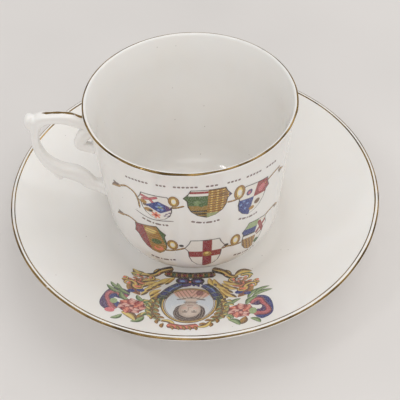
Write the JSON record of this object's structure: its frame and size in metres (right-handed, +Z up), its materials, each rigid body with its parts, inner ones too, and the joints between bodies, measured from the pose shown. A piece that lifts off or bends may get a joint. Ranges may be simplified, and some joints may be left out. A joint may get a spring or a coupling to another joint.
{
  "type": "teacup and saucer",
  "caption": "Round china teacup with an ear-shaped handle standing in the well of its saucer, gilt rims and printed shields and garlands.",
  "frame": {"origin": "on the table, at the centre of the saucer's foot ring", "axes": "+Z up; the handle points to -X and the printed decoration faces -Y"},
  "size_m": [0.14, 0.14, 0.0712],
  "materials": {
    "china": "clear glaze, glossy",
    "gilding": "fired gold, burnished and a little worn",
    "transfer_print": "printed enamel colours fired on to the glaze"
  },
  "bodies": {
    "saucer_body": {"saucer": "china", "saucer_rim_gilding": "gilding", "saucer_transfer": "transfer_print"},
    "cup": {"cup_body": "china", "cup_handle": "china", "cup_rim_gilding": "gilding", "handle_gilding": "gilding", "cup_border_transfer": "transfer_print", "cup_upper_garland_transfer": "transfer_print", "cup_lower_garland_transfer": "transfer_print"}
  },
  "joints": [
    {"name": "cup_lift", "type": "slide", "parent": "saucer_body", "child": "cup", "axis": [0, 0, 1], "range_m": [0, 0.1]}
  ]
}
